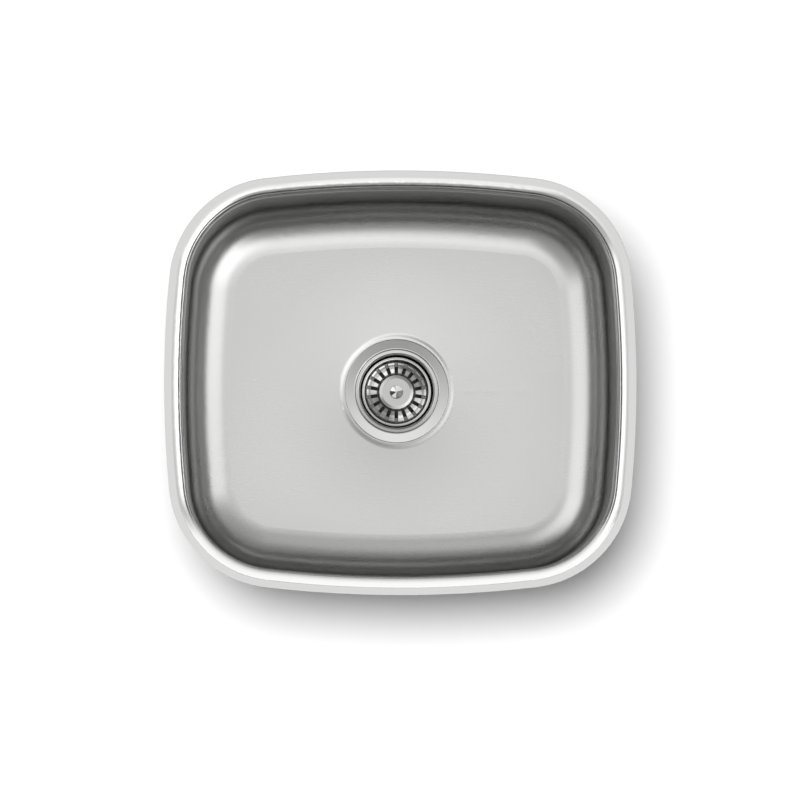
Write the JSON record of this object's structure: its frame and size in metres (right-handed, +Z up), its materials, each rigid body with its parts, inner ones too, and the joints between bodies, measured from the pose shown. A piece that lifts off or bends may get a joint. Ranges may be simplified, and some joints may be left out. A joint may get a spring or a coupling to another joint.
{
  "type": "undermount kitchen sink",
  "caption": "Single-bowl undermount sink with bowed walls, large corner and floor radii, a dished floor and a lift-out basket strainer over its drain outlet.",
  "frame": {"origin": "centre of the rim's top face, which is the face that meets the underside of the counter", "axes": "+Z up, +X along the long side to the right, -Y to the front of the counter"},
  "size_m": [0.5078, 0.4568, 0.2745],
  "materials": {
    "sink_steel": "satin pressed stainless steel",
    "strainer_steel": "fine turned stainless steel",
    "basket_steel": "polished stainless steel",
    "turned_steel": "turned and polished",
    "spring_steel": "drawn wire",
    "plated_brass": "dull nickel plate",
    "zinc": "die cast, as cast",
    "stopper_rubber": "moulded, matt",
    "washer_rubber": "cut sheet, matt",
    "pad_rubber": "matt sheet",
    "putty": "soft putty",
    "fibre": "pressed fibre",
    "white_nylon": "turned nylon"
  },
  "bodies": {
    "root": {"bowl": "sink_steel", "strainer_cup": "strainer_steel", "catch_spring": "spring_steel", "crossbar": "strainer_steel", "flange_seal": "putty", "under_washer": "washer_rubber", "friction_ring": "fibre", "lock_nut": "zinc", "outlet_spud": "plated_brass", "coupling_nut": "plated_brass", "tailpiece_washer": "white_nylon", "base_pad": "pad_rubber", "front_pad": "pad_rubber", "back_pad": "pad_rubber", "left_pad": "pad_rubber", "right_pad": "pad_rubber"},
    "stopper": {"post": "turned_steel", "knob": "turned_steel", "basket_cap": "basket_steel", "stopper_seal": "stopper_rubber", "seal_plate": "strainer_steel", "stem_nut": "plated_brass"},
    "basket": {"basket": "basket_steel"}
  },
  "joints": [
    {"name": "basket_lift", "type": "slide", "parent": "root", "child": "stopper", "axis": [0, 0, 1], "range_m": [0, 0.275]},
    {"name": "basket_turn", "type": "hinge", "parent": "stopper", "child": "basket", "pos_m": [0, 0, -0.232], "axis": [0, 0, 1], "continuous": true}
  ]
}
